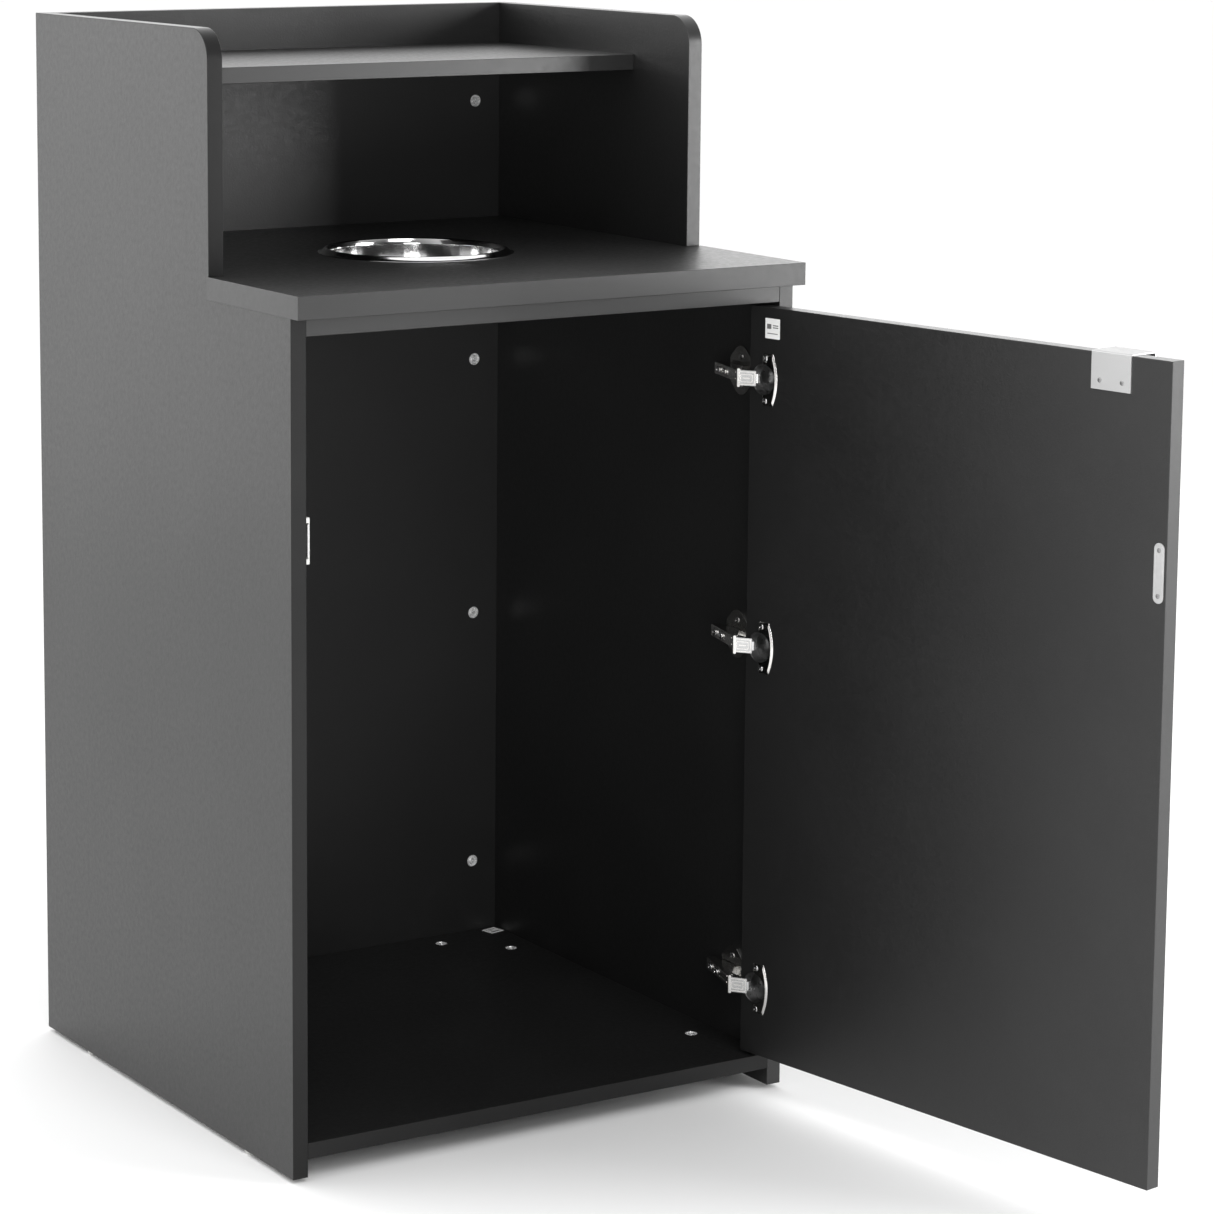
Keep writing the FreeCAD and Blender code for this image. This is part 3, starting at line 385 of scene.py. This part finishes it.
BOARD_ROUNDING = 0.15 * MM
BAND_ROUNDING = 0.55 * MM
GLUED_WITHIN = 0.2 * MM
BOARDS = {"left_side_panel": "cabinet", "right_side_panel": "cabinet", "back_panel": "cabinet",
          "bottom_panel": "cabinet", "tray_shelf": "cabinet", "top_rail": "cabinet",
          "countertop": "cabinet", "door": "door"}
BANDS = {"left_front_band": "left_side_panel", "right_front_band": "right_side_panel",
         "left_hutch_band": "left_side_panel", "right_hutch_band": "right_side_panel",
         "back_panel_band": "back_panel", "bottom_panel_band": "bottom_panel",
         "tray_shelf_band": "tray_shelf", "top_rail_band": "top_rail",
         "countertop_band": "countertop", "door_edge_band": "door"}
# These bands take the darker copy of the edge band: painted shade.
BANDS_IN_PAINTED_SHADE = ("left_front_band", "left_hutch_band", "bottom_panel_band")

for node, body in BOARDS.items():
    finish_piece(round_edges(cad_copy(node), BOARD_ROUNDING, segments=1),
                 f"{node}_board", BOARD, body, [node])


def away_from(board):
    """A test for edges that don't touch the board that a band is glued to."""
    backing = BVHTree.FromBMesh(cad_copy(board))
    return lambda edge: all(backing.find_nearest(v.co)[3] > GLUED_WITHIN for v in edge.verts)


for node, board in BANDS.items():
    finish_piece(round_edges(cad_copy(node), BAND_ROUNDING, segments=3, chosen=away_from(board)),
                 f"{node}_strip", EDGE_BAND_PAINTED_SHADE if node in BANDS_IN_PAINTED_SHADE else EDGE,
                 BOARDS[board], [node])

# ---------------------------------------------------------------- drop ring

RING_DEPTH = 287


def arc_points(cx, cy, radius, start, end, steps=6):
    return [(cx + radius * math.cos(math.radians(start + (end - start) * k / steps)),
             cy + radius * math.sin(math.radians(start + (end - start) * k / steps)))
            for k in range(steps + 1)]


ring_section = (
    [(111.4, 0.05), (111.5, 0.45), (111.2, 0.8), (109.2, 1.25), (106.6, 2.6), (104.6, 4.4)]
    + arc_points(101.9, 3.1, 2.4, 62, 168, 8)
    + [(98.6, 1.2), (98.1, -2.0), (98.0, -31.2), (98.3, -31.9), (98.9, -31.9), (99.15, -31.2),
       (99.15, -1.0), (99.6, 0.05)])
finish_piece(lathe(ring_section, 160, closed=True), "drop_ring_turned", STAINLESS, "cabinet",
             ["drop_ring"],
             CABINET @ Matrix.Translation((0, RING_DEPTH, COUNTER_TOP)), sharp=50)

# ---------------------------------------------------------------- screws and cam locks


def slot_cutter(reach, width, depth, top, turn):
    """A bar that cuts down from a face at the height top, half as long at its bottom."""
    bm = prism([(-reach, -width / 2), (reach, -width / 2), (reach, width / 2),
                (-reach, width / 2)], top - depth, top + 1)
    for v in bm.verts:
        if v.co.z < top:
            v.co.x *= 0.5
    bm.transform(Matrix.Rotation(math.radians(turn), 4, "Z"))
    return bm


def cross_recess(body, reach, width, depth, top):
    for turn in (0, 90):
        body = carve(body, slot_cutter(reach, width, depth, top, turn))
    return body


def pan_head(radius, height, shank, length):
    """A cross-recess pan-head screw: its seat is at z = 0 and its head points along +Z."""
    dome = [(radius * math.cos(a), height * (0.35 + 0.65 * math.sin(a)))
            for a in (math.radians(x) for x in (0, 18, 36, 54, 72))]
    body = lathe([(0, -length), (shank * 0.4, -length + shank), (shank, -length + shank * 2.4),
                  (shank, 0), (radius * 0.97, 0), (radius, height * 0.12)] + dome
                 + [(0, height)], 28)
    return cross_recess(body, radius * 0.62, radius * 0.2, height * 0.75, height)


def cam_disc():
    """A cam lock's face: a raised rim, a sunk floor with a boss, and a cross recess."""
    radius, depth = 7.45, 13.1
    disc = lathe([(0, -depth), (radius, -depth), (radius, -0.45), (radius - 0.35, 0),
                  (radius - 0.8, 0), (radius - 2.1, -2.5), (4.7, -2.6), (4.1, -0.5),
                  (3.8, -0.3), (0, -0.3)], 48)
    return cross_recess(disc, 3.4, 1.5, 4.0, 0)


def scatter(model, spots, name, material, body, nodes, frame_matrix):
    """One piece made of the same small model at several placements."""
    finish_piece(merge(*[(model, spot) for spot in spots]), name, material, body,
                 nodes, frame_matrix, sharp=30)


cam = cam_disc()
BACK_CAMS = [(side * CAM_X, BACK_CAM_LOWEST + BACK_CAM_STEP * k)
             for side in (-1, 1) for k in range(4)]
FLOOR_CAMS = ([(side * CAM_X, depth) for side in (-1, 1) for depth in FLOOR_CAM_DEPTHS]
              + [(side * FLOOR_BACK_CAM[0], FLOOR_BACK_CAM[1]) for side in (-1, 1)])
SHELF_CAMS = [(side * CAM_X, depth) for side in (-1, 1) for depth in SHELF_CAM_DEPTHS]
scatter(cam, [at(x, BACK_FACE, z, "-y", 20 + 37 * k) for k, (x, z) in enumerate(BACK_CAMS)],
        "back_cam_locks", ZINC, "cabinet", ["back_panel_cams"], CABINET)
scatter(cam, [at(x, y, FLOOR_TOP, "+z", 15 + 41 * k) for k, (x, y) in enumerate(FLOOR_CAMS)],
        "floor_cam_locks", ZINC, "cabinet", ["bottom_panel_cams"], CABINET)
scatter(cam, [at(x, y, SHELF_UNDER, "-z", 28 * k) for k, (x, y) in enumerate(SHELF_CAMS)],
        "shelf_cam_locks", ZINC, "cabinet", ["tray_shelf_cams"], CABINET)
cam.free()

small_screw = pan_head(2.6, 0.55, 1.5, 9)
PULL_SCREWS = [(PULL_MIDDLE + side * PULL_SCREW_REACH, PULL_SCREW_HEIGHT)
               for side in (-1, 1)]
STRIKE_SCREWS = [(STRIKE_X, STRIKE_HEIGHT + side * STRIKE_SCREW_REACH) for side in (-1, 1)]
# The pull and strike screws take the darker screw steel: painted shade.
scatter(small_screw, [at(x, DOOR_INSIDE + PULL_THICKNESS, z, "+y", 30 * k + 12)
                      for k, (x, z) in enumerate(PULL_SCREWS)],
        "pull_cross_screws", PULL_SCREW_PAINTED_SHADE, "door", ["pull_screws"], DOOR)
scatter(small_screw, [at(x, DOOR_INSIDE + STRIKE_THICKNESS, z, "+y", 50 * k + 7)
                      for k, (x, z) in enumerate(STRIKE_SCREWS)],
        "strike_cross_screws", PULL_SCREW_PAINTED_SHADE, "door", ["strike_screws"], DOOR)
small_screw.free()

cup_screw = pan_head(3.6, 1.4, 1.5, 11)
scatter(cup_screw, [at(EAR_X, DOOR_INSIDE + FLANGE_THICKNESS, height + side * EAR_SCREW_REACH,
                       "+y", 25 + 33 * side + height)
                    for height in HINGE_HEIGHTS.values() for side in (-1, 1)],
        "cup_cross_screws", SCREW_STEEL, "door", ["cup_screws"], DOOR)
cup_screw.free()

plate_screw = pan_head(3.6, 1.6, 1.75, 14)
scatter(plate_screw, [at(PLATE_SCREW_X, PLATE_SCREW_DEPTH, height + side * PLATE_SCREW_REACH,
                         "-x", 10 + 21 * side + height)
                      for height in HINGE_HEIGHTS.values() for side in (-1, 1)],
        "plate_cross_screws", SCREW_STEEL, "cabinet", ["plate_screws"],
        RIGHT_WALL)
plate_screw.free()

arm_screw = pan_head(3.8, 1.8, 2, 14)
scatter(arm_screw, [at(x, y, height, "-x", 15 + height + y)
                    for height in HINGE_HEIGHTS.values() for x, y in ARM_SCREW_SPOTS],
        "arm_cross_screws", SCREW_STEEL, "cabinet", ["arm_screws"], RIGHT_WALL)
arm_screw.free()

counter_screw = pan_head(4, 2, 2, 34)
scatter(counter_screw, [at(x, RAIL_MIDDLE, RAIL_UNDER, "-z", x) for x in COUNTER_SCREW_X],
        "counter_cross_screws", SCREW_STEEL, "cabinet", ["counter_screws"],
        CABINET)
counter_screw.free()

# ---------------------------------------------------------------- hinges

def lens_outline():
    """The cup flange seen from the front: straight by the hinge edge, bulging opposite."""
    inner, outer, bulge = EAR_X + 5.5, EAR_X - 11, CUP_X - 20.5
    rise = outer - bulge
    radius = (rise * rise + EAR_REACH * EAR_REACH) / (2 * rise)
    half = math.degrees(math.asin(EAR_REACH / radius))
    bow = arc_points(bulge + radius, 0, radius, 180 - half, 180 + half, 18)
    corner = 3.2
    top = arc_points(inner - corner, EAR_REACH - corner, corner, 0, 90, 5)
    low = arc_points(inner - corner, corner - EAR_REACH, corner, 270, 360, 5)
    return top + bow + low


def inset_outline(points, distance):
    """An outline shrunk towards its box's centre, by a distance on every side."""
    xs, ys = [x for x, _ in points], [y for _, y in points]
    cx, cy = (min(xs) + max(xs)) / 2, (min(ys) + max(ys)) / 2
    kx, ky = 1 - 2 * distance / (max(xs) - min(xs)), 1 - 2 * distance / (max(ys) - min(ys))
    return [(cx + (x - cx) * kx, cy + (y - cy) * ky) for x, y in points]


def dished_plate(outline, steps):
    """A plate whose edge rises in (inset, height) steps from its outline to a flat top."""
    bm = bmesh.new()
    rings = [[bm.verts.new((x, y, 0.02)) for x, y in outline]]
    for inset, height in steps:
        rings.append([bm.verts.new((x, y, height)) for x, y in inset_outline(outline, inset)])
    for low, high in zip(rings, rings[1:]):
        for k in range(len(outline)):
            n = (k + 1) % len(outline)
            bm.faces.new([low[k], low[n], high[n], high[k]])
    bm.faces.new(list(reversed(rings[0])))
    bm.faces.new(rings[-1])
    return bm


def hinge_cup(name, height):
    """The pressed cup: a deep pan with a rolled lip, and a lens-shaped flange round it."""
    pan = lathe([(0, -11.5), (14.6, -11.5), (16.6, -10.9), (17.35, -9.4), (17.35, 0.5),
                 (17.9, 0.95), (17.7, 1.15), (17.1, 1.15), (16.7, 0.8), (16.7, -9.9),
                 (16.4, -10.5), (15.8, -10.8), (0, -10.8)], 64)
    plate = dished_plate([(x - CUP_X, z) for x, z in lens_outline()],
                         [(0.15, 0.45), (1.4, 1.15), (2.6, 1.6), (3.2, 1.7)])
    plate = carve(plate, lathe([(0, -1), (17.2, -1), (17.2, 3), (0, 3)], 64))
    for side in (-1, 1):
        dish = lathe([(0, -1), (1.7, -1), (1.7, 0.5), (4.3, 1.25), (4.3, 3), (0, 3)], 32)
        dish.transform(Matrix.Translation((EAR_X - CUP_X, side * EAR_SCREW_REACH, 0)))
        plate = carve(plate, dish)
    # The lathe's +Z becomes the door's +Y, and the plate's +Y the door's +Z.
    stand = Matrix(((1, 0, 0, CUP_X), (0, 0, 1, DOOR_INSIDE), (0, 1, 0, height), (0, 0, 0, 1)))
    # The pan takes the darker nickel: painted shade inside the cup.
    finish_piece(pan, f"hinge_cup_{name}_pan", CUP_PAN_NICKEL_PAINTED_SHADE, "door",
                 [f"hinge_cup_{name}"], DOOR @ stand, sharp=32)
    finish_piece(plate, f"hinge_cup_{name}_flange", NICKEL, "door", (), DOOR @ stand,
                 sharp=50)


def link_details(name, height):
    """The outer link with softened edges, and the stamped frame on its broad face."""
    # Both links take the darker nickel: painted shade.
    for part in ("outer_link", "inner_link"):
        finish_piece(round_edges(cad_copy(f"{part}_{name}"), 0.45 * MM, segments=3),
                     f"{part}_{name}_formed", LINK_NICKEL_PAINTED_SHADE, "hinge_links",
                     [f"{part}_{name}"], sharp=40)
    start, end = Vector((-6.2, -8.95)), Vector((13, -19.7))
    along, middle = (end - start).normalized(), (start + end) / 2
    stand = Matrix(((along.x, 0, along.y, middle.x), (along.y, 0, -along.x, middle.y),
                    (0, 1, 0, 0), (0, 0, 0, 1)))
    rim = carve(prism(rounded_rectangle(20.6, 15.4, 2.2), -0.2, 0.4),
                prism(rounded_rectangle(18.0, 12.8, 1.6), -1, 1))
    panel = carve(prism(rounded_rectangle(14.6, 9.4, 1.6), -0.2, 0.35),
                  prism(rounded_rectangle(12.2, 7.0, 1.0), -1, 1))
    bar = prism(rounded_rectangle(9, 1.8, 0.8), -0.2, 0.35)
    ears = prism(rounded_rectangle(3.4, 21, 1.2), -0.7, 0.25)
    ears.transform(Matrix.Translation((-9.2, 0, 0)))
    stamped = merge(rim, panel, bar, ears)
    round_edges(stamped, 0.14, segments=2)
    finish_piece(stamped, f"outer_link_{name}_stamping", NICKEL, "hinge_links", (),
                 link_place(height) @ stand, sharp=40)


def arm_details(name, height):
    """The arm with softened edges, its pressed ribs, and the winged mounting plate."""
    finish_piece(round_edges(cad_copy(f"hinge_arm_{name}"), 0.4 * MM, segments=3),
                 f"hinge_arm_{name}_formed", NICKEL, "cabinet", [f"hinge_arm_{name}"],
                 sharp=40)
    finish_piece(round_edges(cad_copy(f"hinge_plate_{name}"), 0.5 * MM, segments=3),
                 f"hinge_plate_{name}_cast", NICKEL, "cabinet",
                 [f"hinge_plate_{name}"], sharp=40)
    start, end = Vector((-33, 31)), Vector((-13.5, 104))
    along = (end - start).normalized()
    out = Vector((-along.y, along.x))
    ribs = []
    for z in (-3.6, 3.6):
        rib = prism(rounded_rectangle(62, 1.6, 0.8), -0.2, 0.5)
        round_edges(rib, 0.25, segments=2, chosen=lambda e: min(v.co.z for v in e.verts) > 0)
        ribs.append((rib, Matrix.Translation((0, z, 0))))
    centre = start + along * 39
    stand = Matrix(((along.x, 0, out.x, centre.x), (along.y, 0, out.y, centre.y),
                    (0, 1, 0, height), (0, 0, 0, 1)))
    finish_piece(merge(*ribs), f"hinge_arm_{name}_ribs", NICKEL, "cabinet", (),
                 RIGHT_WALL @ stand, sharp=40)


for name, height in HINGE_HEIGHTS.items():
    hinge_cup(name, height)
    link_details(name, height)
    arm_details(name, height)

# Rivet heads close the arm pins outside the links, and the cup pins keep their CAD length.
pin = lathe([(0, -9.3), (1.7, -9.3), (2.4, -8.9), (2.4, -8.55), (1.5, -8.55), (1.5, 8.55),
             (2.4, 8.55), (2.4, 8.9), (1.7, 9.3), (0, 9.3)], 32)
scatter(pin, [at(*ARM_PIN, height) for height in HINGE_HEIGHTS.values()], "arm_rivets", NICKEL,
        "cabinet", ["arm_pins"], RIGHT_WALL)
pin.free()
pins = []
for height in HINGE_HEIGHTS.values():
    for (x, y), length in LINK_PINS:
        half = length / 2
        rivet = lathe([(0, -half), (1.2, -half), (1.5, 0.3 - half), (1.5, half - 0.3),
                       (1.2, half), (0, half)], 24)
        pins.append((rivet, Matrix.Translation((x, y, height))))
finish_piece(merge(*pins), "link_rivets", NICKEL, "hinge_links", ["link_pins"],
             link_place(0), sharp=40)

# ---------------------------------------------------------------- pull, plates, catch, glides


def soften(node, width, name, material, body, segments=3, sharp=40):
    return finish_piece(round_edges(cad_copy(node), width * MM, segments=segments), name,
                        material, body, [node], sharp=sharp)


# The pull's steel carries painted shade on its upward faces.
soften("door_pull", 0.35, "door_pull_bent", PULL_SHEET_PAINTED_TOP_SHADE, "door")
soften("strike_plate", 0.3, "strike_plate_pressed", SHEET, "door")
bead = carve(prism(rounded_rectangle(9.6, 58.6, 4.7, 10), 0, 0.3),
             prism(rounded_rectangle(8.4, 57.4, 4.1, 10), -1, 1))
round_edges(bead, 0.12, segments=2)
finish_piece(bead, "strike_plate_bead", SHEET, "door", (),
             DOOR @ Matrix(((1, 0, 0, STRIKE_X), (0, 0, 1, DOOR_INSIDE + 1.15),
                            (0, 1, 0, STRIKE_HEIGHT), (0, 0, 0, 1))))
soften("catch_housing", 0.8, "catch_housing_moulded", CATCH, "cabinet")
soften("catch_magnet", 0.3, "catch_magnet_block", FERRITE, "cabinet")
soften("catch_poles", 0.3, "catch_pole_plates", SCREW_STEEL, "cabinet")

glide = lathe([(0, -5), (5.2, -5), (6.6, -4.6), (8.1, -2.6), (8.5, -1.9), (8.5, -0.5),
               (8.0, -0.05), (0, -0.05)], 40)
scatter(glide, [at(side * GLIDE_X, depth, 0) for side in (-1, 1) for depth in GLIDE_DEPTHS],
        "nail_on_glides", GLIDE, "cabinet", ["glides"], CABINET)
glide.free()


def sticker(name, node, body, width, height, bars, matrix):
    """A paper label with plain printed bars, which carry no lettering."""
    finish_piece(prism(rounded_rectangle(width, height, 0.8), 0.0, 0.14), name, PAPER, body,
                 [node], matrix, sharp=30)
    printed = [(prism(rounded_rectangle(w, h, 0.2, 2), 0.12, 0.17), Matrix.Translation((x, y, 0)))
               for x, y, w, h in bars]
    finish_piece(merge(*printed), f"{name}_print", INK, body, (), matrix, sharp=30)


LABEL_BARS = [(-5.2, 2.2, 6.5, 5.5), (4.6, 3.6, 8.4, 1.2), (4.6, 1.2, 8.4, 1.2),
              (0, -5.6, 16, 0.9)]
sticker("door_label_paper", "door_label", "door", 22.6, 22.6, LABEL_BARS,
        DOOR @ Matrix(((-1, 0, 0, DOOR_EDGE - 34.5), (0, 0, 1, DOOR_INSIDE + 0.01),
                       (0, 1, 0, DOOR_TOP - 23.5), (0, 0, 0, 1))))
STICKER_BARS = [(0, 5, 15, 1.4), (-3.4, 1.2, 8, 1.2), (0, -4.4, 14, 3)]
sticker("floor_sticker_paper", "floor_sticker", "cabinet", 21.6, 19.6, STICKER_BARS,
        placed(286.5, 270.5, 43.01, 12))

HIDDEN_STEEL = ("back_panel_bolts", "bottom_panel_bolts", "tray_shelf_bolts", "catch_screws")
for node in HIDDEN_STEEL:
    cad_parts[node].data.materials.clear()
    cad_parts[node].data.materials.append(SCREW_STEEL)

# ---------------------------------------------------------------- floor, light, camera


def floor():
    mesh = bpy.data.meshes.new("studio_floor")
    half = 60.0
    mesh.from_pydata([(-half, -half, 0), (half, -half, 0), (half, half, 0), (-half, half, 0)],
                     [], [(0, 1, 2, 3)])
    m = Nodes("pale_floor")
    m.set(Roughness=0.9, Specular_IOR_Level=0.1)
    m.ramp(m.noise(0.6, 2), [(0.3, grey(0.92)), (0.7, grey(0.935))],
           m.shader.inputs["Base Color"])
    mesh.materials.append(m.material)
    obj = bpy.data.objects.new("studio_floor", mesh)
    bpy.context.scene.collection.objects.link(obj)


def softbox(name, place, target, width, height, radiance):
    """A rectangular area light of a given brightness that the camera doesn't see."""
    light = bpy.data.lights.new(name, "AREA")
    light.shape = "RECTANGLE"
    light.size, light.size_y = width, height
    light.energy = radiance * math.pi * width * height
    obj = bpy.data.objects.new(name, light)
    obj.location = place
    aim = Vector(target) - Vector(place)
    obj.rotation_mode = "QUATERNION"
    obj.rotation_quaternion = aim.to_track_quat("-Z", "Y")
    obj.visible_camera = False
    bpy.context.scene.collection.objects.link(obj)


def sky(front, back):
    """A white surround that is brighter behind the object than in front of it."""
    world = bpy.data.worlds.new("studio_surround")
    bpy.context.scene.world = world
    world.use_nodes = True
    tree = world.node_tree
    background = tree.nodes["Background"]
    background.inputs["Color"].default_value = (1, 1, 1, 1)
    place = tree.nodes.new("ShaderNodeTexCoord")
    split = tree.nodes.new("ShaderNodeSeparateXYZ")
    tree.links.new(place.outputs["Generated"], split.inputs["Vector"])
    spread = tree.nodes.new("ShaderNodeMapRange")
    for key, value in (("From Min", -1.0), ("From Max", 1.0), ("To Min", front), ("To Max", back)):
        spread.inputs[key].default_value = value
    tree.links.new(split.outputs["Y"], spread.inputs["Value"])
    tree.links.new(spread.outputs["Result"], background.inputs["Strength"])


floor()
sky(0.0, 2.15)
softbox("near_right_softbox", (2.2, -2.5, 1.2), (0.1, -0.3, 0.8), 1.1, 1.7, 8.2)
softbox("far_right_softbox", (4.2, -3.6, 1.7), (0, -0.3, 0.8), 2.2, 2.2, 2.4)
softbox("high_front_softbox", (-0.4, -3.2, 3.4), (0, 0, 0.3), 2.0, 2.0, 5.2)
softbox("side_softbox", (-4.0, 0.2, 1.8), (0, 0, 0.8), 2.0, 2.0, 0.5)
softbox("left_softbox", (-3.9, 2.5, 1.9), (-0.3, -0.1, 0.8), 1.8, 2.2, 0.8)
softbox("close_left_softbox", (-1.45, 1.85, 0.95), (-0.28, -0.2, 0.85), 0.9, 1.3, 1.1)
softbox("low_front_softbox", (-1.2, -2.6, 0.9), (0, 0.4, 0.3), 1.0, 1.0, 6.0)
softbox("back_right_softbox", (3.5, 2.5, 1.5), (0, 0, 0.9), 2.4, 2.4, 0.7)

CAMERA = {"place": (-2.1678, -3.6976, 1.4201), "yaw": 30.6563, "pitch": 8.4716,
          "roll": -0.1273, "lens": 112.11, "shift": (0.15, -0.17)}


def camera():
    data = bpy.data.cameras.new("photo_camera")
    data.sensor_width = 36
    data.lens = CAMERA["lens"]
    data.shift_x, data.shift_y = CAMERA["shift"]
    data.clip_end = 200
    obj = bpy.data.objects.new("photo_camera", data)
    yaw, pitch, roll = (math.radians(CAMERA[key]) for key in ("yaw", "pitch", "roll"))
    forward = Vector((math.sin(yaw) * math.cos(pitch), math.cos(yaw) * math.cos(pitch),
                      -math.sin(pitch)))
    level = Vector((math.cos(yaw), -math.sin(yaw), 0))
    rise = level.cross(forward)
    right = level * math.cos(roll) - rise * math.sin(roll)
    up = level * math.sin(roll) + rise * math.cos(roll)
    turn = Matrix((right, up, -forward)).transposed()
    obj.matrix_world = Matrix.Translation(CAMERA["place"]) @ turn.to_4x4()
    bpy.context.scene.collection.objects.link(obj)
    bpy.context.scene.camera = obj


camera()
bpy.context.scene.view_settings.view_transform = "Standard"
